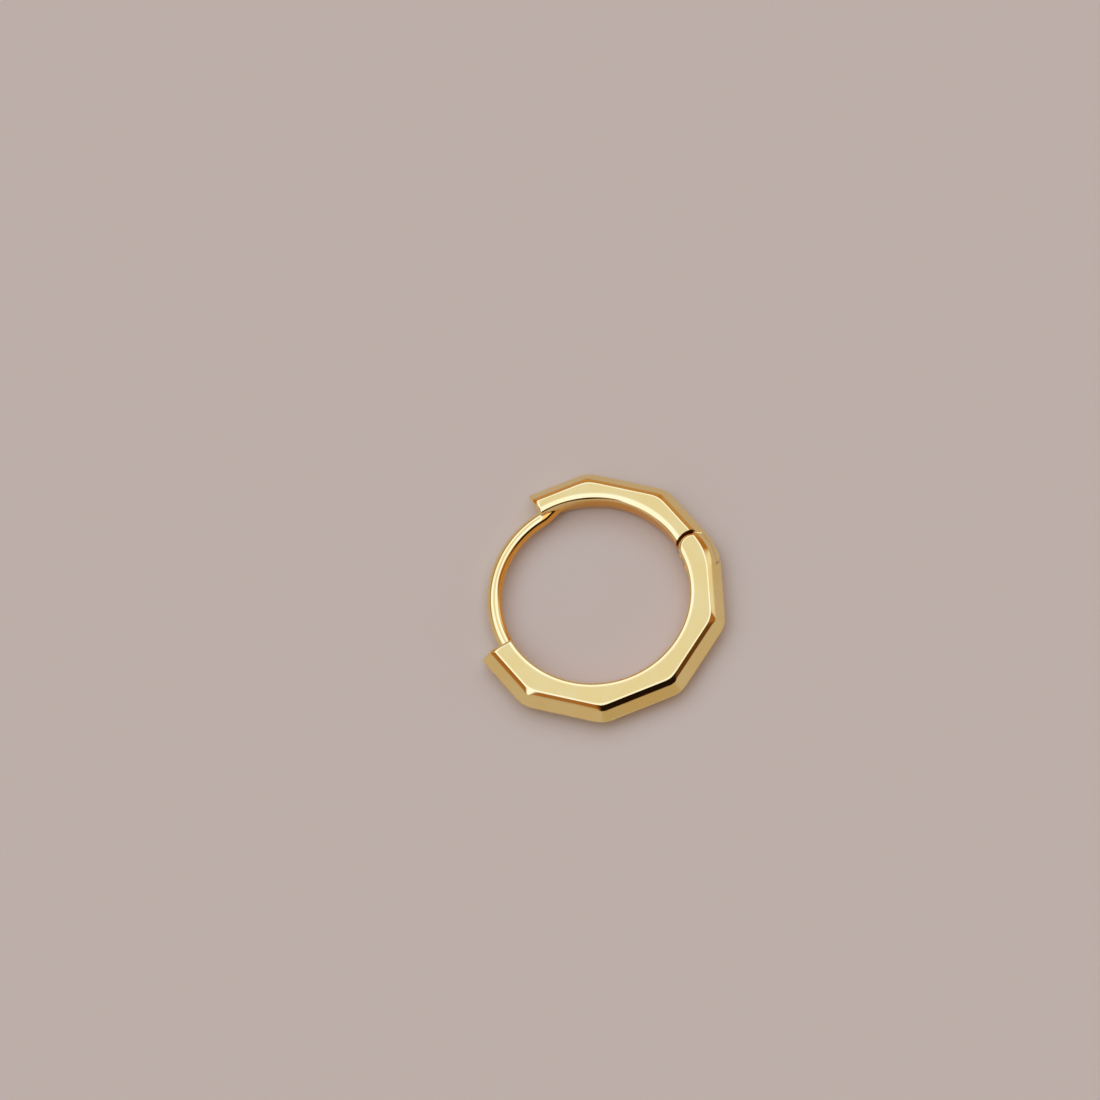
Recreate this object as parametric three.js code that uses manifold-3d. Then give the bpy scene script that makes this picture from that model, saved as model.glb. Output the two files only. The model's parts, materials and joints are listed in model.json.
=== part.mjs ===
// Huggie earring: a ten-sided hoop in two arms that turn on a hidden pin, closed by a bent ear wire.
// Millimetres. The hoop lies on its side: Z is the axis of the hoop, +Y the side that the ear wire bridges.
import * as THREE from 'three';
import { mergeVertices } from 'three/addons/utils/BufferGeometryUtils.js';
import Module from 'manifold-3d';

const wasm = await Module();
wasm.setup();
const { Manifold, Mesh: SolidMesh } = wasm;

// Hoop
const SIDES = 10;
const BORE_RADIUS = 5.1;
const HALF_WIDTH = 0.75;
const FACE_APOTHEM = 6.14;          // middle of a side, out to the edge of the flat face
const BEVEL_APOTHEM = 6.39;         // out to the foot of the narrow bevel
const BEVEL_DEPTH = 0.2;            // how far that foot lies below the flat face
const RIDGE_APOTHEM = 6.925;        // out to the ridge in the middle of the width
const MID_HEIGHT = HALF_WIDTH;      // the lower flat face stands on z = 0

// Places round the hoop, in degrees, anticlockwise from +X
const CORNER_ANGLE = -54;
const HINGE_ANGLE = -52;
const BACK_END_ANGLE = 46;
const FRONT_END_ANGLE = 134;

// Off-centre bore of the back arm, which thins towards its end
const ARM_BORE_RADIUS = 5.13;
const ARM_BORE_SHIFT = 0.23;        // towards the end of the arm

// Hinge
const HINGE_RADIUS = 5.985;         // from the axis of the hoop to the axis of the pin
const EAR_RADIUS = 0.99;
const SHOULDER_RADIUS = 1.12;       // hollow end of the back arm that runs round the ears
const EYE_RADIUS = 0.9;             // round end of the tongue, all but flush with the bore
const TONGUE_RADIUS = 1.27;         // reach of the tongue's outer corner
const TONGUE_THICKNESS = 0.52;
const SLOT_RADIUS = 1.32;
const SLOT_WIDTH = 0.6;
const PIN_RADIUS = 0.3;
const PIN_LENGTH = 1.2;
const PIN_CLEARANCE = 0.03;

// Ear wire and its catch
const WIRE_RADIUS = 0.4;
const WIRE_BEND_RADIUS = 5.42;
const WIRE_LAP = 15;                // degrees of wire soldered inside the back arm
const WIRE_ENTRY = 14;              // degrees of wire inside the catch
const CATCH_LENGTH = 17;            // degrees
const CATCH_CLEARANCE = 0.06;

// Blocks that reach past the hoop, for cutting it
const CUTTER_REACH = 12;
const CUTTER_HEIGHT = 3;

// Fineness of the round surfaces
const BORE_SEGMENTS = 120;
const HINGE_SEGMENTS = 48;
const WIRE_SEGMENTS = 16;
const BEND_SEGMENTS = 120;

const radians = THREE.MathUtils.degToRad;
const CORNER = 1 / Math.cos(Math.PI / SIDES);       // corner radius over apothem

const gold = new THREE.MeshStandardMaterial({ color: 0xdcb765, metalness: 1, roughness: 0.14 });
const pinMetal = new THREE.MeshStandardMaterial({ color: 0xc9a85c, metalness: 1, roughness: 0.3 });

// A closed three.js geometry as a solid for cutting and joining.
function solid(geometry) {
  const bare = geometry.clone();
  bare.deleteAttribute('normal');
  bare.deleteAttribute('uv');
  const welded = mergeVertices(bare, 1e-5);
  return new Manifold(new SolidMesh({
    numProp: 3,
    vertProperties: new Float32Array(welded.attributes.position.array),
    triVerts: new Uint32Array(welded.index.array),
  }));
}

// A solid as a named mesh with crisp edges.
function mesh(name, body, material) {
  const data = body.getMesh();
  const shared = new THREE.BufferGeometry();
  shared.setAttribute('position', new THREE.BufferAttribute(data.vertProperties, 3));
  shared.setIndex(new THREE.BufferAttribute(data.triVerts, 1));
  const geometry = shared.toNonIndexed();
  geometry.computeVertexNormals();
  const piece = new THREE.Mesh(geometry, material);
  piece.name = name;
  return piece;
}

// Turns a profile of [radius, height] points about Z, with a corner at the first angle. Height 0 is the
// middle of the hoop's width.
function turned(points, segments, firstCorner = 0) {
  const profile = points.map(([radius, height]) => new THREE.Vector2(radius, height));
  const geometry = new THREE.LatheGeometry(profile, segments);
  geometry.rotateX(Math.PI / 2);
  geometry.rotateZ(radians(firstCorner + 90));
  geometry.translate(0, 0, MID_HEIGHT);
  return solid(geometry);
}

// An upright round bar on the middle of the hoop's width.
function roundBar(radius, length, x, y, segments = HINGE_SEGMENTS) {
  const geometry = new THREE.CylinderGeometry(radius, radius, length, segments);
  geometry.rotateX(Math.PI / 2);
  geometry.translate(x, y, MID_HEIGHT);
  return solid(geometry);
}

// A block taller than the hoop that covers the angles from one place to another.
function wedge(fromAngle, toAngle) {
  const steps = Math.max(1, Math.ceil((toAngle - fromAngle) / 60));
  const outline = new THREE.Shape();
  outline.moveTo(0, 0);
  for (let step = 0; step <= steps; step += 1) {
    const angle = radians(fromAngle + (toAngle - fromAngle) * step / steps);
    outline.lineTo(CUTTER_REACH * Math.cos(angle), CUTTER_REACH * Math.sin(angle));
  }
  outline.closePath();
  const geometry = new THREE.ExtrudeGeometry(outline, { depth: CUTTER_HEIGHT, bevelEnabled: false });
  geometry.translate(0, 0, MID_HEIGHT - CUTTER_HEIGHT / 2);
  return solid(geometry);
}

// The whole hoop before it is divided: flat faces, bevels and a ridge, ten sides, one round bore.
function wholeHoop() {
  const bevelHeight = HALF_WIDTH - BEVEL_DEPTH;
  const outside = turned([
    [0, HALF_WIDTH],
    [FACE_APOTHEM * CORNER, HALF_WIDTH],
    [BEVEL_APOTHEM * CORNER, bevelHeight],
    [RIDGE_APOTHEM * CORNER, 0],
    [BEVEL_APOTHEM * CORNER, -bevelHeight],
    [FACE_APOTHEM * CORNER, -HALF_WIDTH],
    [0, -HALF_WIDTH],
  ].reverse(), SIDES, CORNER_ANGLE);
  return outside.subtract(roundBar(BORE_RADIUS, CUTTER_HEIGHT, 0, 0, BORE_SEGMENTS));
}

const hinge = new THREE.Vector2(HINGE_RADIUS, 0).rotateAround(new THREE.Vector2(), radians(HINGE_ANGLE));

function hingeBar(radius, length = CUTTER_HEIGHT) {
  return roundBar(radius, length, hinge.x, hinge.y);
}

// A ring of wire with round section, bent to the ear wire's curve.
function wireRing(radius) {
  const section = [];
  for (let step = 0; step <= WIRE_SEGMENTS; step += 1) {
    const angle = 2 * Math.PI * (step % WIRE_SEGMENTS) / WIRE_SEGMENTS;
    section.push([WIRE_BEND_RADIUS + radius * Math.cos(angle), radius * Math.sin(angle)]);
  }
  return turned(section, BEND_SEGMENTS);
}

function wireEnd(angle) {
  const ball = new THREE.SphereGeometry(WIRE_RADIUS, WIRE_SEGMENTS, WIRE_SEGMENTS / 2);
  const place = radians(angle);
  ball.translate(WIRE_BEND_RADIUS * Math.cos(place), WIRE_BEND_RADIUS * Math.sin(place), MID_HEIGHT);
  return solid(ball);
}

function earWire() {
  const rootAngle = BACK_END_ANGLE - WIRE_LAP;
  const tipAngle = FRONT_END_ANGLE + WIRE_ENTRY - THREE.MathUtils.radToDeg(WIRE_RADIUS / WIRE_BEND_RADIUS);
  const bend = wireRing(WIRE_RADIUS).intersect(wedge(rootAngle, tipAngle));
  return bend.add(wireEnd(rootAngle)).add(wireEnd(tipAngle));
}

// The slot for the wire's tip: as deep as the wire and open to the inside of the hoop.
function catchSlot() {
  const half = WIRE_RADIUS + CATCH_CLEARANCE;
  const open = turned([
    [BORE_RADIUS - 1, -half],
    [WIRE_BEND_RADIUS, -half],
    [WIRE_BEND_RADIUS, half],
    [BORE_RADIUS - 1, half],
    [BORE_RADIUS - 1, -half],
  ], BEND_SEGMENTS);
  const channel = wireRing(half).add(open);
  return channel.intersect(wedge(FRONT_END_ANGLE - 5, FRONT_END_ANGLE + CATCH_LENGTH));
}

function frontHoop(hoop) {
  const arm = wedge(FRONT_END_ANGLE, HINGE_ANGLE + 360).add(hingeBar(EAR_RADIUS));
  const tongueSlot = hingeBar(SLOT_RADIUS, SLOT_WIDTH);
  const pinHole = hingeBar(PIN_RADIUS + PIN_CLEARANCE, PIN_LENGTH + 2 * PIN_CLEARANCE);
  return hoop.intersect(arm).subtract(tongueSlot).subtract(pinHole).subtract(catchSlot());
}

function backArm(hoop) {
  const sector = wedge(HINGE_ANGLE, BACK_END_ANGLE);
  const shift = new THREE.Vector2(ARM_BORE_SHIFT, 0).rotateAround(new THREE.Vector2(), radians(BACK_END_ANGLE));
  const bore = roundBar(ARM_BORE_RADIUS, CUTTER_HEIGHT, shift.x, shift.y, BORE_SEGMENTS);
  const body = hoop.intersect(sector).subtract(hingeBar(SHOULDER_RADIUS));
  const layer = roundBar(2 * RIDGE_APOTHEM, TONGUE_THICKNESS, 0, 0);
  const reach = sector.intersect(hingeBar(2 * SHOULDER_RADIUS)).add(hingeBar(TONGUE_RADIUS));
  const tongue = hoop.intersect(reach).intersect(layer);
  const eye = hingeBar(EYE_RADIUS, TONGUE_THICKNESS);
  const pinHole = hingeBar(PIN_RADIUS + PIN_CLEARANCE);
  return body.add(tongue).subtract(bore).add(eye).subtract(pinHole).add(earWire());
}

const hoop = wholeHoop();
const earring = new THREE.Group();
earring.add(mesh('front_hoop', frontHoop(hoop), gold));
earring.add(mesh('back_arm', backArm(hoop), gold));
earring.add(mesh('hinge_pin', hingeBar(PIN_RADIUS, PIN_LENGTH), pinMetal));

// The origin is under the middle of the whole, between the lowest corner and the top of the wire.
earring.position.y = (RIDGE_APOTHEM * CORNER - WIRE_BEND_RADIUS - WIRE_RADIUS) / 2;

export default earring;
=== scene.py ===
"""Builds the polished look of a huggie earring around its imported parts."""

import json
import math

import bpy
import numpy as np
from bpy.props import FloatProperty, FloatVectorProperty, PointerProperty
from bpy.types import Operator, Panel, PropertyGroup
from mathutils import Matrix, Vector


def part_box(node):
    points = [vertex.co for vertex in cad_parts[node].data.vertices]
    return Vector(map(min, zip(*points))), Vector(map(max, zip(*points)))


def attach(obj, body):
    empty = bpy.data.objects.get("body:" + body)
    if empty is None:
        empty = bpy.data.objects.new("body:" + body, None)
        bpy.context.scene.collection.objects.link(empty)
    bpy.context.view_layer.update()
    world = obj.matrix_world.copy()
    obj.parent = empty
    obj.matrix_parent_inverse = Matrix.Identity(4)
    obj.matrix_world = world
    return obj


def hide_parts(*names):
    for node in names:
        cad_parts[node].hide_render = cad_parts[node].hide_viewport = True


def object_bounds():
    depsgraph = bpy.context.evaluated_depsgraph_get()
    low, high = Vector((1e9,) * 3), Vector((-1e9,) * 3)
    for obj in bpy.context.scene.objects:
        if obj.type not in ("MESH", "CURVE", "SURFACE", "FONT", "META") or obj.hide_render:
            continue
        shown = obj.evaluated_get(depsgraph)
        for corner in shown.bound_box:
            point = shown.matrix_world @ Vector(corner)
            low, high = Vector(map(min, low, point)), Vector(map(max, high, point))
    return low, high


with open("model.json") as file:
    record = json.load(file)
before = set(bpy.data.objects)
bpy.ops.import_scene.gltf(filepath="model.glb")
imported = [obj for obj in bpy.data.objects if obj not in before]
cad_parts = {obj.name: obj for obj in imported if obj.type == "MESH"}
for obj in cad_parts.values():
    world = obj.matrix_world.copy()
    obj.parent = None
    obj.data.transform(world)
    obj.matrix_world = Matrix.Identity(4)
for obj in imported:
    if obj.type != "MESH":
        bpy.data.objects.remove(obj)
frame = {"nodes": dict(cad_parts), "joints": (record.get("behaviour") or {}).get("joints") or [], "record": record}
CAD_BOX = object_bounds()

bl_info = {
    "name": "Huggie Earring",
    "version": (1, 0, 0),
    "blender": (4, 5, 0),
    "location": "View3D > Sidebar > Earring",
    "description": "Builds a polished hinged hoop earring and a small studio for it",
    "category": "Add Mesh",
}

MM = 0.001

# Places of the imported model, in metres
LOBE_SPACE = frame["record"]["physics"]["openings"][0]["box_m"]
HOOP_AXIS = (Vector(LOBE_SPACE[0]) + Vector(LOBE_SPACE[1])) / 2
MIDDLE = Vector((HOOP_AXIS.x, HOOP_AXIS.y, (CAD_BOX[0].z + CAD_BOX[1].z) / 2))
HINGE_PLACE = Vector(frame["joints"][0]["pos_m"])

# Sizes of the hoop as it was designed, in millimetres and degrees
SIDE_ANGLE = 36
CORNER_ANGLE = -54
HALF_WIDTH = (CAD_BOX[1].z - CAD_BOX[0].z) / 2 / MM
BORE_RADIUS = 5.1
ARM_BORE_RADIUS = 5.13
ARM_BORE_SHIFT = 0.23
FACE_REACH = 6.14
BEVEL_REACH = 6.39
BEVEL_DEPTH = 0.2
RIDGE_REACH = 6.925
HINGE_X, HINGE_Y = ((HINGE_PLACE - MIDDLE) / MM).xy
HINGE_ANGLE = math.degrees(math.atan2(HINGE_Y, HINGE_X))
BACK_END = 46
FRONT_END = 134
EAR_RADIUS = 0.99
SHOULDER_RADIUS = 1.12
EYE_RADIUS = 0.9
NOSE_ANGLE = -49.8
NOSE_REACH = 5.883
NOSE_RADIUS = 0.6
TONGUE_RADIUS = 1.27
TONGUE_HALF = 0.292
SLOT_RADIUS = 1.32
SLOT_HALF = 0.3
HOLE_RADIUS = 0.33
HOLE_HALF = 0.63
WIRE_RADIUS = 0.4
WIRE_BEND = 5.42
WIRE_ROOT = 31
WIRE_SINK = 0.36
WIRE_TIP = 143.8
CATCH_HALF = 0.46
CATCH_END = 151

# Smaller roundings and tapers of the forms, and how far the hinge and the solder bead change them
HINGE_CORNER_REACH = 1.6
BORE_BLEND = 0.02
NOSE_BLEND = 0.1
NOSE_TAPER = 0.25
BEAD_REACH = 0.3

# How far round the hinge the mesh is fine, and how far apart the form is probed for its slope
FINE_REACH = 1.9
PROBE = 0.002
MIN_STEEPNESS = 0.05

# Where the painted shade and painted reflection fade in or out, in millimetres and degrees: on the walls of the
# hinge's gap, on its seam, in the bore and on the far bevels
GAP_TOP = (HALF_WIDTH - 0.12, HALF_WIDTH - 0.03)
GAP_BORE_SIDE = (BORE_RADIUS + 0.02, BORE_RADIUS + 0.12)
GAP_BAND_SIDE = (6.3, 6.5)
GAP_EAR = (0.96, 0.985)
GAP_SHOULDER = (1.16, 1.2)
GAP_AHEAD_TURN = 20
GAP_AHEAD = (2.4, 2.6)
# Mask of painted shade along the seam of the tongue and its slot
SEAM_INNER = (TONGUE_HALF - 0.04, TONGUE_HALF - 0.02)
SEAM_OUTER = (SLOT_HALF + 0.01, SLOT_HALF + 0.03)
SEAM_REACH = (6.3, 6.4)
SEAM_TURN = 1.4
SEAM_ROUND = (1.15, 1.2)
SEAM_PAINTED_SHADE = 0.6
# Masks of painted shade and painted reflection in the bore and on the far bevels
BORE_PAINTED_SHADE_TOP = (HALF_WIDTH - 0.3, HALF_WIDTH - 0.16)
BORE_PAINTED_SHADE_REACH = (5.38, 5.46)
ARM_END_SHIFT = 0.24
ARM_END_PLACE = (3.8, 3.95)
BEVEL_PAINTED_SHADE_FOOT = (HALF_WIDTH - BEVEL_DEPTH - 0.01, HALF_WIDTH - BEVEL_DEPTH + 0.02)
BEVEL_PAINTED_SHADE_RIM = (HALF_WIDTH - 0.04, HALF_WIDTH - 0.01)
BEVEL_PAINTED_SHADE_REACH = (6.0, 6.1)
BEVEL_PAINTED_SHADE_SIDE = (3.6, 3.9)

# How far the surface turns at the rim of a flat face and at the foot of a bevel, as sines
BEVEL_SLOPE = math.atan2(BEVEL_DEPTH, BEVEL_REACH - FACE_REACH)
BAND_SLOPE = math.atan2(HALF_WIDTH - BEVEL_DEPTH, RIDGE_REACH - BEVEL_REACH)
BEVEL_TURN = math.sin(BEVEL_SLOPE)
FOOT_TURN = math.sin(BAND_SLOPE - BEVEL_SLOPE)


# ---------------------------------------------------------------- sizes and colours that a user changes


def length(name, description, default):
    """A size in millimetres that the user can change."""
    return FloatProperty(
        name=name, description=description, default=default * MM, min=0.01 * MM, max=2 * MM,
        precision=6, subtype="DISTANCE", unit="LENGTH")


class HoopSettings(PropertyGroup):
    step: length("Mesh step", "Spacing of the mesh corners", 0.053)
    fine_step: length("Hinge mesh step", "The same round the hinge", 0.028)
    rim: length("Rim rounding", "Breadth of the rounding from the flat faces to the bevels", 0.28)
    rim_side: length("Rim rounding on the bevel", "Breadth of the same rounding on the bevel", 0.07)
    bore_rim: length("Bore rim rounding", "Breadth of the rounding into the bore of the long arm", 0.7)
    bore_lip: length("Bore lip rounding", "Depth of the same rounding down the bore", 0.32)
    arm_rim: length(
        "Short arm rim rounding", "Breadth of the rounding into the bore of the short arm", 0.8)
    arm_lip: length("Short arm lip rounding", "Depth of the same rounding down the bore", 0.75)
    foot: length("Bevel foot rounding", "Breadth of the rounding where the bevel meets the band", 0.15)
    ridge: length("Ridge rounding", "Breadth of the rounding along the ridge in mid width", 0.2)
    corner: length(
        "Corner blunting", "Breadth over which the corners between the sides are blunt", 0.46)
    foot_corner: length(
        "Bevel corner blunting", "The same at the foot of the bevel, where corners are crisp", 0.12)
    hinge_corner: length(
        "Hinge corner blunting", "Extra blunting of the corner that carries the hinge", 0.7)
    end: length("End rounding", "Breadth of the rounding round the two end faces", 0.12)
    end_bevel: length("End bevel", "Breadth of the bevel at the end of the flat faces", 0.13)
    end_corner: length("End corners", "Breadth over which the corners of the flat faces are round", 0.6)
    nose: length(
        "Hinge nose rounding", "Breadth of the rounding of the two ears beside the hinge gap", 0.12)
    nose_rim: length(
        "Hinge nose rim", "Breadth of the rounding from the flat face to the bevel of the nose", 0.14)
    shoulder: length(
        "Hinge shoulder rounding", "Breadth of the rounding on the other side of that gap", 0.05)
    seam: length("Seam rounding", "Breadth of the rounding along the tongue and its slot", 0.01)
    catch: length("Catch rounding", "Breadth of the rounding along the catch for the wire", 0.03)
    solder: length("Solder fillet", "Breadth of the solder along the wire in the arm", 0.16)
    bead: length("Solder bead", "Breadth of the bead of solder where the wire leaves the arm", 0.2)


class FinishSettings(PropertyGroup):
    gold: FloatVectorProperty(
        name="Gold", description="Colour that the plating reflects straight on",
        default=(0.98, 0.77, 0.34), min=0.0, max=1.0, size=3, subtype="COLOR")
    pale_gold: FloatVectorProperty(
        name="Pale gold", description="Colour of the patches where the plating is thinner",
        default=(0.98, 0.80, 0.39), min=0.0, max=1.0, size=3, subtype="COLOR")
    # Painted shade and painted reflection: the darker, deeper gold of the bore and the far bevels
    painted_shade_gold: FloatVectorProperty(
        name="Painted shade gold", description="Colour of the painted shade and reflection in the bore and on the far bevels",
        default=(0.93, 0.49, 0.10), min=0.0, max=1.0, size=3, subtype="COLOR")
    # Painted shade: dark colour of the hinge's gap and its seam
    painted_gap_shade: FloatVectorProperty(
        name="Painted gap shade", description="Colour of the painted shade in the gap of the hinge",
        default=(0.30, 0.10, 0.02), min=0.0, max=1.0, size=3, subtype="COLOR")
    roughness: FloatProperty(
        name="Roughness", description="Roughness of the polished metal", default=0.04,
        min=0.0, max=1.0, subtype="FACTOR")
    waviness: FloatProperty(
        name="Waviness", description="Height of the soft waves that polishing leaves",
        default=0.0025 * MM, min=0.0, max=0.1 * MM, precision=7, subtype="DISTANCE", unit="LENGTH")


class StudioSettings(PropertyGroup):
    floor: FloatVectorProperty(
        name="Floor", description="Colour of the plain floor", default=(0.70, 0.57, 0.41),
        min=0.0, max=1.0, size=3, subtype="COLOR")
    sky: FloatProperty(
        name="Dome strength", description="Brightness of the soft dome of light", default=1.0, min=0.0)
    elevation: FloatProperty(
        name="Camera elevation", description="Height of the camera above the floor, as an angle",
        default=math.radians(68.6), subtype="ANGLE", unit="ROTATION")
    azimuth: FloatProperty(
        name="Camera azimuth", description="Side that the camera stands on, anticlockwise from +X",
        default=math.radians(-154.6), subtype="ANGLE", unit="ROTATION")
    roll: FloatProperty(
        name="Camera roll", description="Clockwise turn of the camera about its view",
        default=math.radians(11.7), subtype="ANGLE", unit="ROTATION")
    distance: FloatProperty(
        name="Camera distance", description="Distance from the camera to the hoop", default=270 * MM,
        subtype="DISTANCE", unit="LENGTH")
    aim: FloatVectorProperty(
        name="Aim", description="How far right of and below the middle of the view the hoop stands",
        default=(2.365 * MM, 2.266 * MM), size=2, subtype="XYZ", unit="LENGTH")


# ---------------------------------------------------------------- forms as distances, in millimetres


def rounded_max(a, b, breadth):
    """Both forms at once: the larger distance, with the crease rounded over a breadth."""
    overlap = np.maximum(breadth - np.abs(a - b), 0) / breadth
    return np.maximum(a, b) + breadth * overlap**3 / 6


def rounded_min(a, b, breadth):
    """Either form: the smaller distance, with a fillet in the crease."""
    return -rounded_max(-a, -b, breadth)


def sector(x, y, from_angle, to_angle):
    """Distances past the two radial planes that bound a sector: its start and its end."""
    start, end = math.radians(from_angle), math.radians(to_angle)
    return x * math.sin(start) - y * math.cos(start), y * math.cos(end) - x * math.sin(end)


def from_hinge(x, y):
    return np.hypot(x - HINGE_X, y - HINGE_Y)


def ring_of_sides(x, y, z, hoop):
    """Reach from the axis, measured square to the nearest side, with blunt corners."""
    height = np.abs(z)
    foot_height = HALF_WIDTH - BEVEL_DEPTH
    blunting = (hoop.corner, hoop.foot_corner, hoop.corner)
    breadth = np.interp(height, (0, foot_height, HALF_WIDTH), blunting)
    near_hinge = np.exp(-((from_hinge(x, y) / HINGE_CORNER_REACH) ** 4))
    breadth = breadth / MM + hoop.hinge_corner / MM * near_hinge
    half_side = math.radians(SIDE_ANGLE / 2)
    turn = np.arctan2(y, x) - math.radians(CORNER_ANGLE)
    fold = np.abs(turn % (2 * half_side) - half_side)
    reach = np.hypot(x, y)
    return rounded_max(reach * np.cos(fold), reach * np.cos(2 * half_side - fold), breadth)


def through(reach, height, start, end):
    """Distance past the sloping plane through two points of the section."""
    run, fall = end[0] - start[0], start[1] - end[1]
    return ((reach - start[0]) * fall + (height - start[1]) * run) / math.hypot(run, fall)


def past_bore(x, y):
    """Distance inside the round bore."""
    return BORE_RADIUS - np.hypot(x, y)


def past_arm_bore(x, y):
    """The same for the short arm, which is bored off-centre and thins towards its end."""
    place = math.radians(BACK_END)
    across = np.hypot(x - ARM_BORE_SHIFT * math.cos(place), y - ARM_BORE_SHIFT * math.sin(place))
    return rounded_max(past_bore(x, y), ARM_BORE_RADIUS - across, BORE_BLEND)


def whole_hoop(x, y, z, bore, rim, lip, hoop):
    """The hoop before it is divided: flat faces, bevels, sloping bands with a ridge, and a bore.

    The rim and the lip are how broad and how deep the rounding into the bore is.
    """
    reach = ring_of_sides(x, y, z, hoop)
    height = np.abs(z)
    face_edge = (FACE_REACH, HALF_WIDTH)
    foot = (BEVEL_REACH, HALF_WIDTH - BEVEL_DEPTH)
    bevel = through(reach, height, face_edge, foot)
    ridge = (RIDGE_REACH, 0)
    band = rounded_max(through(reach, z, foot, ridge), through(reach, -z, foot, ridge), hoop.ridge / MM)
    outside = rounded_max(bevel, band, FOOT_TURN * hoop.foot / MM)
    steepness = hoop.rim / hoop.rim_side
    outside = rounded_max(outside, (height - HALF_WIDTH) * steepness, BEVEL_TURN * hoop.rim / MM)
    depth = lip / MM * steepness
    return rounded_max(outside, bore * depth / (rim / MM), depth)


def nose_outline(x, y):
    """The flat face of the ears in plan, which narrows to a round nose."""
    place = math.radians(NOSE_ANGLE)
    end = sector(x, y, NOSE_ANGLE, NOSE_ANGLE)[1]
    side = past_bore(x, y) + NOSE_REACH - BORE_RADIUS - NOSE_RADIUS + NOSE_TAPER * end
    nose = np.hypot(x - NOSE_REACH * math.cos(place), y - NOSE_REACH * math.sin(place)) - NOSE_RADIUS
    return np.minimum(nose, rounded_max(end, side, NOSE_BLEND))


def end_outline(x, y, z, plane, bore, hoop):
    """The flat face in plan at an end of an arm, with round corners."""
    corner = hoop.end_corner / MM
    spread = corner / 8  # lets the sides out a little, because the rounding draws them in
    side = ring_of_sides(x, y, z, hoop) - FACE_REACH - spread
    plan = rounded_max(plane + hoop.end_bevel / MM, side, corner)
    return rounded_max(plan, bore - spread, corner)


def bevelled(form, outline, z, hoop):
    """The form with a bevel round an outline of its flat faces."""
    height = np.abs(z) - HALF_WIDTH
    bevel = BEVEL_TURN * outline + math.cos(BEVEL_SLOPE) * height
    return np.maximum(form, rounded_max(bevel, height, BEVEL_TURN * hoop.nose_rim / MM))


def front_form(x, y, z, hoop):
    """The long arm: two ears with a slot between them at the hinge, and a catch for the wire."""
    seam = hoop.seam / MM
    reach = np.hypot(x, y)
    start, end = sector(x, y, FRONT_END, HINGE_ANGLE)
    start = np.where(y > 0, start, -1)
    hinge = from_hinge(x, y)
    bore = past_bore(x, y)
    whole = whole_hoop(x, y, z, bore, hoop.bore_rim, hoop.bore_lip, hoop)
    form = rounded_max(whole, start, hoop.end / MM)
    form = rounded_max(form, np.minimum(end, hinge - EAR_RADIUS), hoop.nose / MM)
    form = bevelled(form, nose_outline(x, y), z, hoop)
    form = bevelled(form, end_outline(x, y, z, start, bore, hoop), z, hoop)
    form = rounded_max(form, -np.maximum(hinge - SLOT_RADIUS, np.abs(z) - SLOT_HALF), seam)
    form = np.maximum(form, -np.maximum(hinge - HOLE_RADIUS, np.abs(z) - HOLE_HALF))
    channel = np.hypot(np.maximum(reach - WIRE_BEND, 0), z) - CATCH_HALF
    channel = rounded_max(channel, sector(x, y, FRONT_END, CATCH_END)[1], hoop.catch / MM)
    return rounded_max(form, -channel, hoop.catch / MM)


def ear_wire(x, y, z):
    """A bent round wire with ball ends, sunk into the arm towards its root."""
    middle = math.radians((WIRE_ROOT + WIRE_TIP) / 2)
    half = math.radians((WIRE_TIP - WIRE_ROOT) / 2)
    turn = (np.arctan2(y, x) - middle + math.pi) % (2 * math.pi) - math.pi
    turn = np.clip(turn, -half, half)
    place = middle + turn
    lap = np.clip(1 - (turn + half) / math.radians(BACK_END - WIRE_ROOT), 0, 1)
    bend = WIRE_BEND + WIRE_SINK * lap**2 * (3 - 2 * lap)
    across = np.hypot(x - bend * np.cos(place), y - bend * np.sin(place))
    return np.hypot(across, z) - WIRE_RADIUS


def back_form(x, y, z, hoop):
    """The short arm, its tongue and eye in the hinge, and the soldered ear wire."""
    seam = hoop.seam / MM
    start, end = sector(x, y, HINGE_ANGLE, BACK_END)
    hinge = from_hinge(x, y)
    bore = past_arm_bore(x, y)
    whole = whole_hoop(x, y, z, bore, hoop.arm_rim, hoop.arm_lip, hoop)
    arm = rounded_max(np.maximum(whole, start), end, hoop.end / MM)
    arm = bevelled(arm, end_outline(x, y, z, end, bore, hoop), z, hoop)
    arm = rounded_max(arm, SHOULDER_RADIUS - hinge, hoop.shoulder / MM)
    tongue = np.minimum(np.maximum(start, hinge - 2 * SHOULDER_RADIUS), hinge - TONGUE_RADIUS)
    tongue = np.minimum(np.maximum(tongue, whole), hinge - EYE_RADIUS)
    tongue = rounded_max(tongue, np.abs(z) - TONGUE_HALF, seam)
    form = rounded_min(arm, tongue, seam)
    solder = (hoop.solder + (hoop.bead - hoop.solder) * np.exp(-((end / BEAD_REACH) ** 2))) / MM
    form = rounded_min(form, ear_wire(x, y, z), solder)
    return np.maximum(form, HOLE_RADIUS - hinge)


# ---------------------------------------------------------------- meshes


def slope(form, points):
    """The distance and its slope along each axis, at some points."""
    rise = [
        (form(*(points + offset).T) - form(*(points - offset).T)) / (2 * PROBE)
        for offset in np.eye(3) * PROBE
    ]
    return form(*points.T), np.stack(rise, axis=1)


def settled(form, points, rounds):
    """The points moved on to the surface."""
    for _ in range(rounds):
        distance, rise = slope(form, points)
        points = points - rise * (distance / np.maximum((rise**2).sum(1), MIN_STEEPNESS))[:, None]
    return points


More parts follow.
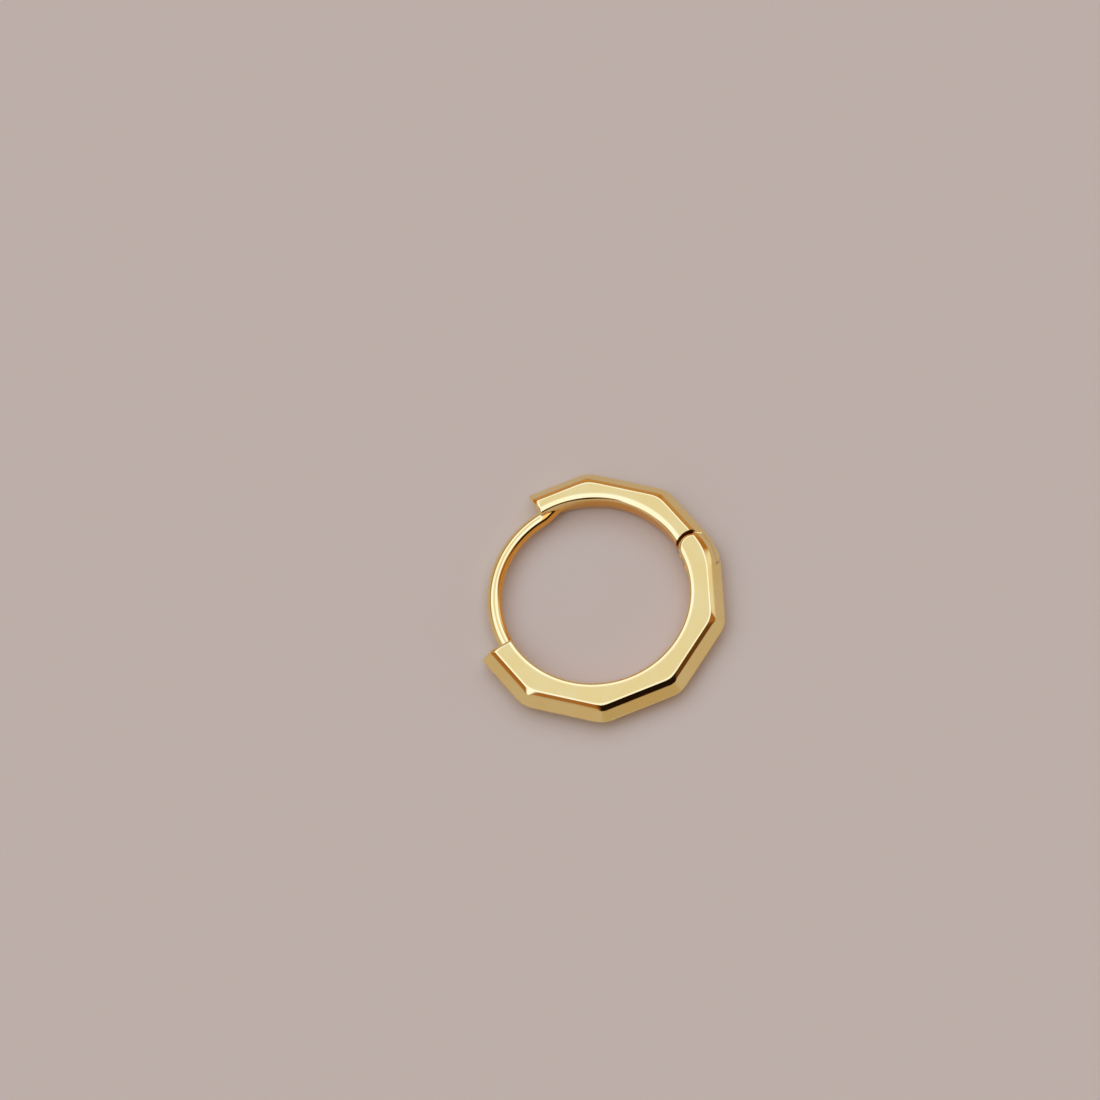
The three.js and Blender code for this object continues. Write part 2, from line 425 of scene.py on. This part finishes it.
def evened(form, points, quads, rounds):
    """The points moved along the surface towards the middle of their neighbours, for even faces."""
    ends = np.concatenate([quads[:, [side, (side + 1) % 4]] for side in range(4)])
    count = np.bincount(ends[:, 0], minlength=len(points))[:, None]
    for _ in range(rounds):
        sums = [np.bincount(ends[:, 0], points[ends[:, 1], axis], len(points)) for axis in range(3)]
        total = np.stack(sums, axis=1)
        move = total / count - points
        _, rise = slope(form, points)
        rise /= np.maximum(np.linalg.norm(rise, axis=1), 1e-6)[:, None]
        move -= rise * (move * rise).sum(1)[:, None]
        points = settled(form, points + move / 2, rounds=2)
    return points


def spaced(start, stop, step, fine_step, middle):
    """Places from start to stop, closer together round a middle."""
    places = [start]
    while places[-1] < stop:
        nearness = math.exp(-(((places[-1] - middle) / FINE_REACH) ** 4))
        places.append(places[-1] + step + (fine_step - step) * nearness)
    return np.array(places)


def skin(form, low, high, step, fine_step):
    """The surface of a form as quads: one corner in every cell of a grid that the surface crosses."""
    steps = ((step, fine_step, HINGE_X), (step, fine_step, HINGE_Y), (step, step, 0))
    axes = [
        spaced(start - 2 * step, stop + 2 * step, *spacing)
        for start, stop, spacing in zip(low, high, steps)
    ]
    values = form(*np.meshgrid(*axes, indexing="ij"))
    inside = values < 0
    cells = np.array(values.shape) - 1
    total, count = np.zeros((*cells, 3)), np.zeros(cells)
    crossings = []
    for axis in range(3):
        near = tuple(slice(None, -1) if a == axis else slice(None) for a in range(3))
        far = tuple(slice(1, None) if a == axis else slice(None) for a in range(3))
        index = np.argwhere(inside[near] != inside[far])
        step_on = np.eye(3, dtype=int)[axis]
        start, stop = values[tuple(index.T)], values[tuple((index + step_on).T)]
        place = index.astype(float)
        place[:, axis] += start / (start - stop)
        others = [a for a in range(3) if a != axis]
        corners = []
        for back in ((0, 0), (1, 0), (1, 1), (0, 1)):
            cell = index.copy()
            cell[:, others[0]] -= back[0]
            cell[:, others[1]] -= back[1]
            np.add.at(total, tuple(cell.T), place)
            np.add.at(count, tuple(cell.T), 1)
            corners.append(cell)
        crossings.append((corners, (start < 0) == (axis == 1)))
    active = count > 0
    number = np.cumsum(active).reshape(active.shape) - 1
    mean = total[active] / count[active][:, None]
    places = [np.interp(mean[:, a], np.arange(len(axes[a])), axes[a]) for a in range(3)]
    points = np.stack(places, axis=1)
    quads = []
    for corners, reversed_order in crossings:
        faces = np.stack([number[tuple(cell.T)] for cell in corners], axis=1)
        faces[reversed_order] = faces[reversed_order][:, ::-1]
        quads.append(faces)
    return points, np.concatenate(quads)


def built(name, form, hoop, box):
    """A form as a mesh object with its own normals, in metres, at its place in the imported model."""

    def shape(x, y, z):
        return form(x, y, z, hoop)

    low, high = ((corner - MIDDLE) / MM for corner in box)
    points, quads = skin(shape, low, high, hoop.step / MM, hoop.fine_step / MM)
    points = settled(shape, points, rounds=4)
    points = evened(shape, points, quads, rounds=3)
    _, normals = slope(shape, points)
    normals /= np.linalg.norm(normals, axis=1)[:, None]
    mesh = bpy.data.meshes.new(name)
    mesh.from_pydata((points * MM + np.array(MIDDLE)).tolist(), [], quads.tolist())
    mesh.update()
    mesh.shade_smooth()
    mesh.normals_split_custom_set_from_vertices(normals.tolist())
    piece = bpy.data.objects.new(name, mesh)
    bpy.context.scene.collection.objects.link(piece)
    return piece


# ---------------------------------------------------------------- shaders


class Value:
    """A socket of a shader whose arithmetic adds Math nodes."""

    def __init__(self, shader, socket):
        self.shader, self.socket = shader, socket

    def math(self, operation, *values):
        node = self.shader.add("ShaderNodeMath", {"operation": operation}, dict(enumerate(values)))
        return Value(self.shader, node.outputs[0])

    def __add__(self, other):
        return self.math("ADD", self, other)

    def __radd__(self, other):
        return self.math("ADD", other, self)

    def __sub__(self, other):
        return self.math("SUBTRACT", self, other)

    def __rsub__(self, other):
        return self.math("SUBTRACT", other, self)

    def __mul__(self, other):
        return self.math("MULTIPLY", self, other)

    def __rmul__(self, other):
        return self.math("MULTIPLY", other, self)

    def __truediv__(self, other):
        return self.math("DIVIDE", self, other)

    def __pow__(self, other):
        return self.math("POWER", self, other)

    def between(self, low, high):
        """0 below a level and 1 above another, smooth in between."""
        node = self.shader.add("ShaderNodeMapRange", {"interpolation_type": "SMOOTHSTEP"},
                               {"Value": self, "From Min": low, "From Max": high})
        return Value(self.shader, node.outputs[0])


class Shader:
    """Adds nodes to a material or a world."""

    def __init__(self, owner):
        owner.use_nodes = True
        self.tree = owner.node_tree
        self.tree.nodes.clear()

    def add(self, kind, settings=None, inputs=None):
        node = self.tree.nodes.new(kind)
        for name, value in (settings or {}).items():
            setattr(node, name, value)
        for name, value in (inputs or {}).items():
            socket = node.inputs[name]
            if isinstance(value, Value):
                self.tree.links.new(value.socket, socket)
            elif isinstance(value, bpy.types.NodeSocket):
                self.tree.links.new(value, socket)
            elif socket.type == "RGBA":
                socket.default_value = (*value, 1)
            else:
                socket.default_value = value
        return node

    def value(self, kind, settings=None, inputs=None, output=0):
        return Value(self, self.add(kind, settings, inputs).outputs[output])

    def mix(self, factor, first, second):
        node = self.add("ShaderNodeMix", {"data_type": "RGBA"}, {0: factor, 6: first, 7: second})
        return node.outputs[2]

    def noise(self, place, size, detail=2.0):
        """Cloudy noise from 0 to 1 with features of a size in metres."""
        return self.value(
            "ShaderNodeTexNoise", None, {"Vector": place, "Scale": 1 / size, "Detail": detail})


def in_plan(shader, place):
    """The place brought down to the floor."""
    flatten = {0: place, 1: (1, 1, 0)}
    return shader.add("ShaderNodeVectorMath", {"operation": "MULTIPLY"}, flatten).outputs[0]


def plan_distance(shader, level, point):
    """Distance in plan from a point, in millimetres."""
    ends = {0: level, 1: point}
    return shader.value("ShaderNodeVectorMath", {"operation": "DISTANCE"}, ends, "Value") / MM


def painted_hinge_shade(shader, place):
    """1 on the walls of the hinge's gap, less on its seam, and else 0: where shade is painted dark into the
    colour. The metal there is also rougher, since no polishing reaches it.
    """
    level = in_plan(shader, place)

    def spot(radius, angle):
        """Distance in plan from a place round the hoop, in millimetres."""
        turn = math.radians(angle)
        point = (MIDDLE.x + radius * MM * math.cos(turn), MIDDLE.y + radius * MM * math.sin(turn), 0)
        return plan_distance(shader, level, point)

    depth = shader.value("ShaderNodeSeparateXYZ", None, {0: place}, "Z") / MM - MIDDLE.z / MM
    height = depth.math("ABSOLUTE", depth)
    reach = spot(0, 0)
    pivot = math.hypot(HINGE_X, HINGE_Y)
    hinge = spot(pivot, HINGE_ANGLE)
    deep = 1 - height.between(*GAP_TOP)
    across = reach.between(*GAP_BORE_SIDE) * (1 - reach.between(*GAP_BAND_SIDE))
    ahead = 1 - spot(pivot, HINGE_ANGLE + GAP_AHEAD_TURN).between(*GAP_AHEAD)
    gap = deep * across * ahead * hinge.between(*GAP_EAR) * (1 - hinge.between(*GAP_SHOULDER))
    slot = height.between(*SEAM_INNER)
    slot *= 1 - height.between(*SEAM_OUTER)
    beside = 1 - spot(pivot, HINGE_ANGLE - SEAM_TURN).between(*SEAM_ROUND)
    return gap + SEAM_PAINTED_SHADE * slot * reach.between(*SEAM_REACH) * beside


def painted_shade_gold(shader, place):
    """1 where painted shade and painted reflection make the gold deeper and darker: the bore, the inner half of
    the wire and the far bevels, where the gold mostly sees gold and shaded floor.
    """
    reach = plan_distance(shader, in_plan(shader, place), (MIDDLE.x, MIDDLE.y, 0))
    split = shader.add("ShaderNodeSeparateXYZ", None, {0: place}).outputs
    x, y, z = (Value(shader, split[axis]) / MM - middle / MM for axis, middle in zip("XYZ", MIDDLE))
    shifted = reach + ARM_END_SHIFT * y.between(*ARM_END_PLACE)
    bore = (1 - z.between(*BORE_PAINTED_SHADE_TOP)) * (1 - shifted.between(*BORE_PAINTED_SHADE_REACH))
    bevel = z.between(*BEVEL_PAINTED_SHADE_FOOT) * (1 - z.between(*BEVEL_PAINTED_SHADE_RIM))
    return bore + bevel * reach.between(*BEVEL_PAINTED_SHADE_REACH) * x.between(*BEVEL_PAINTED_SHADE_SIDE)


def polished_gold(finish):
    material = bpy.data.materials.new("mirror_gold")
    shader = Shader(material)
    place = shader.add("ShaderNodeTexCoord").outputs["Object"]
    patches = shader.noise(place, size=1.6 * MM)
    grain = shader.noise(place, size=0.05 * MM, detail=3)
    waves = shader.noise(place, size=1.1 * MM, detail=1)
    bump = shader.add("ShaderNodeBump", None, {
        "Strength": 1.0, "Distance": finish.waviness, "Height": waves + 0.04 * grain})
    # Mask of painted shade in the hinge's gap and on its seam; it also makes that metal rougher
    painted_gap_shade = painted_hinge_shade(shader, place)
    colour = shader.mix(patches.between(0.35, 0.7), finish.gold, finish.pale_gold)
    # Painted shade and painted reflection: deeper, darker gold in the bore, on the inner half of the wire and on
    # the far bevels
    colour = shader.mix(painted_shade_gold(shader, place), colour, finish.painted_shade_gold)
    surface = shader.add("ShaderNodeBsdfPrincipled", None, {
        "Base Color": shader.mix(painted_gap_shade, colour, finish.painted_gap_shade),
        "Metallic": 1.0,
        "Roughness": finish.roughness + 0.03 * patches + 0.03 * grain + 0.25 * painted_gap_shade,
        "Normal": bump.outputs[0],
    })
    shader.add("ShaderNodeOutputMaterial", None, {"Surface": surface.outputs[0]})
    return material


def pin_metal():
    material = bpy.data.materials.new("drawn_wire")
    shader = Shader(material)
    place = shader.add("ShaderNodeTexCoord").outputs["Object"]
    grain = shader.noise(place, size=0.08 * MM, detail=3)
    dull, bright = (0.66, 0.46, 0.17), (0.8, 0.6, 0.27)
    surface = shader.add("ShaderNodeBsdfPrincipled", None, {
        "Base Color": shader.mix(grain, dull, bright),
        "Metallic": 1.0,
        "Roughness": 0.25 + 0.2 * grain,
    })
    shader.add("ShaderNodeOutputMaterial", None, {"Surface": surface.outputs[0]})
    return material


# ---------------------------------------------------------------- operators


def dressed(piece, node, body, material):
    """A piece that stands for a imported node, moves with its body and takes a finish."""
    piece.data.materials.append(material)
    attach(piece, body)
    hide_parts(node)


def gold_of(context):
    return bpy.data.materials.get("mirror_gold") or polished_gold(context.scene.earring_finish)


class EARRING_OT_front_hoop(Operator):
    """Builds the long arm with its hinge ears and its catch"""

    bl_idname = "earring.front_hoop"
    bl_label = "Front Hoop"

    def execute(self, context):
        arm = built("front_hoop_polished", front_form, context.scene.earring_hoop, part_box("front_hoop"))
        dressed(arm, "front_hoop", "front", gold_of(context))
        return {"FINISHED"}


class EARRING_OT_back_arm(Operator):
    """Builds the short arm with its tongue and the soldered ear wire"""

    bl_idname = "earring.back_arm"
    bl_label = "Back Arm and Ear Wire"

    def execute(self, context):
        arm = built("back_arm_polished", back_form, context.scene.earring_hoop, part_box("back_arm"))
        dressed(arm, "back_arm", "back", gold_of(context))
        return {"FINISHED"}


class EARRING_OT_hinge_pin(Operator):
    """Gives the hidden hinge pin its finish"""

    bl_idname = "earring.hinge_pin"
    bl_label = "Hinge Pin"

    def execute(self, context):
        pin = frame["nodes"]["hinge_pin"]
        pin.data.materials.clear()
        pin.data.materials.append(pin_metal())
        return {"FINISHED"}


class EARRING_OT_stage(Operator):
    """Builds the floor, the dome of light and the camera"""

    bl_idname = "earring.stage"
    bl_label = "Stage"

    def execute(self, context):
        studio = context.scene.earring_studio
        add_floor(studio)
        add_dome(context.scene, studio)
        add_camera(context.scene, studio)
        context.scene.view_settings.view_transform = "Standard"
        return {"FINISHED"}


def add_floor(studio):
    half = 2.0
    mesh = bpy.data.meshes.new("floor")
    corners = [(-half, -half, 0), (half, -half, 0), (half, half, 0), (-half, half, 0)]
    mesh.from_pydata(corners, [], [(0, 1, 2, 3)])
    floor = bpy.data.objects.new("floor", mesh)
    bpy.context.scene.collection.objects.link(floor)
    material = bpy.data.materials.new("floor")
    shader = Shader(material)
    surface = shader.add("ShaderNodeBsdfPrincipled", None, {
        "Base Color": studio.floor, "Roughness": 0.9, "Specular IOR Level": 0.2})
    shader.add("ShaderNodeOutputMaterial", None, {"Surface": surface.outputs[0]})
    mesh.materials.append(material)


def add_dome(scene, studio):
    """A soft dome: pale walls, a bright ceiling with a softer middle, and a dark room by the camera."""
    world = bpy.data.worlds.new("studio")
    scene.world = world
    shader = Shader(world)
    direction = shader.add("ShaderNodeTexCoord").outputs["Generated"]
    up = Value(shader, shader.add("ShaderNodeSeparateXYZ", None, {0: direction}).outputs["Z"])
    level = (1 - up * up) ** 0.5

    def toward(turn, elevation):
        """Cosine of the angle to a direction, given as a turn from the camera's side and a height."""
        turn = studio.azimuth - math.radians(turn)
        flat, rise = math.cos(math.radians(elevation)), math.sin(math.radians(elevation))
        aim = (flat * math.cos(turn), flat * math.sin(turn), rise)
        return shader.value(
            "ShaderNodeVectorMath", {"operation": "DOT_PRODUCT"}, {0: direction, 1: aim}, "Value")

    def side(turn, breadth, soft):
        """1 within a breadth either side of a turn from the camera's side, and 0 beyond it."""
        outer, inner = (math.cos(math.radians(breadth + edge)) for edge in (soft, -soft))
        return (toward(turn, 0) / level).between(outer, inner)

    def height(angle, soft):
        """0 below an angle above the floor and 1 beyond it."""
        return up.between(math.sin(math.radians(angle - soft)), math.sin(math.radians(angle + soft)))

    def patch(turn, elevation, breadth, soft):
        """1 inside a round patch of the dome, and 0 beyond it."""
        outer, inner = (math.cos(math.radians(breadth + edge)) for edge in (soft, -soft))
        return toward(turn, elevation).between(outer, inner)

    wall, near_wall, far_wall = (0.54, 0.46, 0.40), (0.48, 0.38, 0.27), (0.42, 0.27, 0.13)
    ceiling, soft_middle = (1.08, 1.22, 1.7), (0.80, 0.82, 0.87)
    dim, dark, pale = (0.36, 0.15, 0.035), (0.012, 0.006, 0.003), (0.86, 0.82, 0.78)
    colour = shader.mix(patch(turn=-15, elevation=15, breadth=24, soft=12), wall, near_wall)
    behind = side(turn=180, breadth=70, soft=10) * height(angle=8, soft=3)
    colour = shader.mix(behind, colour, far_wall)
    colour = shader.mix(height(angle=33, soft=5), colour, ceiling)
    colour = shader.mix(patch(turn=180, elevation=68.6, breadth=13, soft=5), colour, soft_middle)
    colour = shader.mix(patch(turn=-112, elevation=15, breadth=9, soft=4), colour, pale)
    colour = shader.mix(patch(turn=82, elevation=26, breadth=9, soft=4), colour, dim)
    threshold = 1 - (1 - height(angle=28.5, soft=1.5)) * side(turn=45, breadth=22, soft=4)
    room = height(angle=21.5, soft=1.5) * threshold * (1 - height(angle=56, soft=4))
    colour = shader.mix(room * side(turn=-31, breadth=73, soft=6), colour, dim)
    room = height(angle=21.5, soft=1.5) * (1 - height(angle=52, soft=4))
    colour = shader.mix(room * side(turn=-20, breadth=46, soft=12), colour, dark)
    background = shader.add("ShaderNodeBackground", None, {"Color": colour, "Strength": studio.sky})
    shader.add("ShaderNodeOutputWorld", None, {"Surface": background.outputs[0]})


def add_camera(scene, studio):
    """A long lens that looks down on the hoop as it lies."""
    data = bpy.data.cameras.new("camera")
    data.sensor_width = 36
    data.lens = 165
    data.clip_start = 0.01
    camera = bpy.data.objects.new("camera", data)
    scene.collection.objects.link(camera)
    scene.camera = camera
    flat, rise = math.cos(studio.elevation), math.sin(studio.elevation)
    back = Vector((flat * math.cos(studio.azimuth), flat * math.sin(studio.azimuth), rise))
    hoop = Vector((MIDDLE.x, MIDDLE.y, CAD_BOX[1].z))
    right = Vector((0, 0, 1)).cross(back).normalized()
    up = back.cross(right)
    turn = Matrix.Rotation(-studio.roll, 3, back)
    right, up = turn @ right, turn @ up
    place = hoop + back * studio.distance
    target = hoop - right * studio.aim[0] + up * studio.aim[1]
    view = (place - target).normalized()
    side = up.cross(view).normalized()
    camera.matrix_world = Matrix((side, view.cross(side), view)).transposed().to_4x4()
    camera.location = place


# ---------------------------------------------------------------- panel and registration


class EARRING_PT_panel(Panel):
    bl_label = "Huggie Earring"
    bl_idname = "EARRING_PT_panel"
    bl_space_type = "VIEW_3D"
    bl_region_type = "UI"
    bl_category = "Earring"

    def draw(self, context):
        for settings in ("earring_hoop", "earring_finish", "earring_studio"):
            box = self.layout.box()
            group = getattr(context.scene, settings)
            for name in group.__annotations__:
                box.prop(group, name)
        for step in STEPS:
            self.layout.operator(step.bl_idname)


STEPS = (EARRING_OT_front_hoop, EARRING_OT_back_arm, EARRING_OT_hinge_pin, EARRING_OT_stage)
SETTINGS = {
    "earring_hoop": HoopSettings,
    "earring_finish": FinishSettings,
    "earring_studio": StudioSettings,
}
CLASSES = (*SETTINGS.values(), *STEPS, EARRING_PT_panel)


def register():
    for cls in CLASSES:
        bpy.utils.register_class(cls)
    for name, group in SETTINGS.items():
        setattr(bpy.types.Scene, name, PointerProperty(type=group))


def unregister():
    for name in SETTINGS:
        delattr(bpy.types.Scene, name)
    for cls in reversed(CLASSES):
        bpy.utils.unregister_class(cls)


def main():
    register()
    bpy.ops.earring.front_hoop()
    bpy.ops.earring.back_arm()
    bpy.ops.earring.hinge_pin()
    bpy.ops.earring.stage()


if __name__ == "__main__":
    main()
